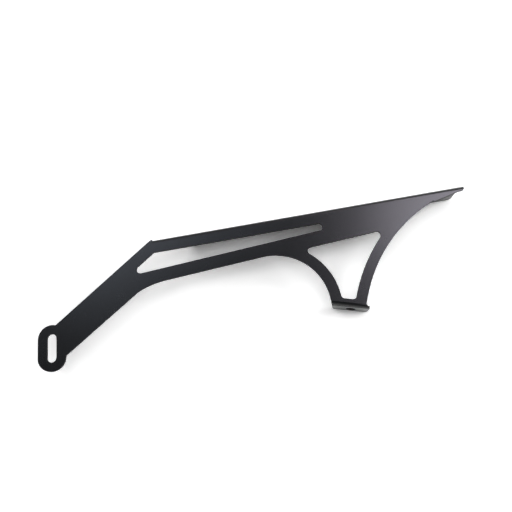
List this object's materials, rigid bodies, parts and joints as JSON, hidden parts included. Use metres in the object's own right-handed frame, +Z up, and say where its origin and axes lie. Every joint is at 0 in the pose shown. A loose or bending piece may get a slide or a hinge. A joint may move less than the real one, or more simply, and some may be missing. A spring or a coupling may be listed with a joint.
{
  "type": "motorcycle chain guard",
  "caption": "Folded sheet chain guard for a motorcycle: long rail with a folded top flange, slotted adjusting eye on a front arm, and a windowed leg with a bolted foot tab.",
  "frame": {"origin": "centre of the bounding box in plan, at the level of the flange's and the tab's feet", "axes": "+X along the top fold towards the rear nose, +Y from the foot tab towards the flange, +Z up; the guard lies on the feet of its flange and tab"},
  "size_m": [0.4658, 0.1208, 0.0316],
  "materials": {
    "chain_guard": "satin black powder coat"
  },
  "bodies": {
    "root": {"chain_guard": "chain_guard"}
  },
  "joints": []
}
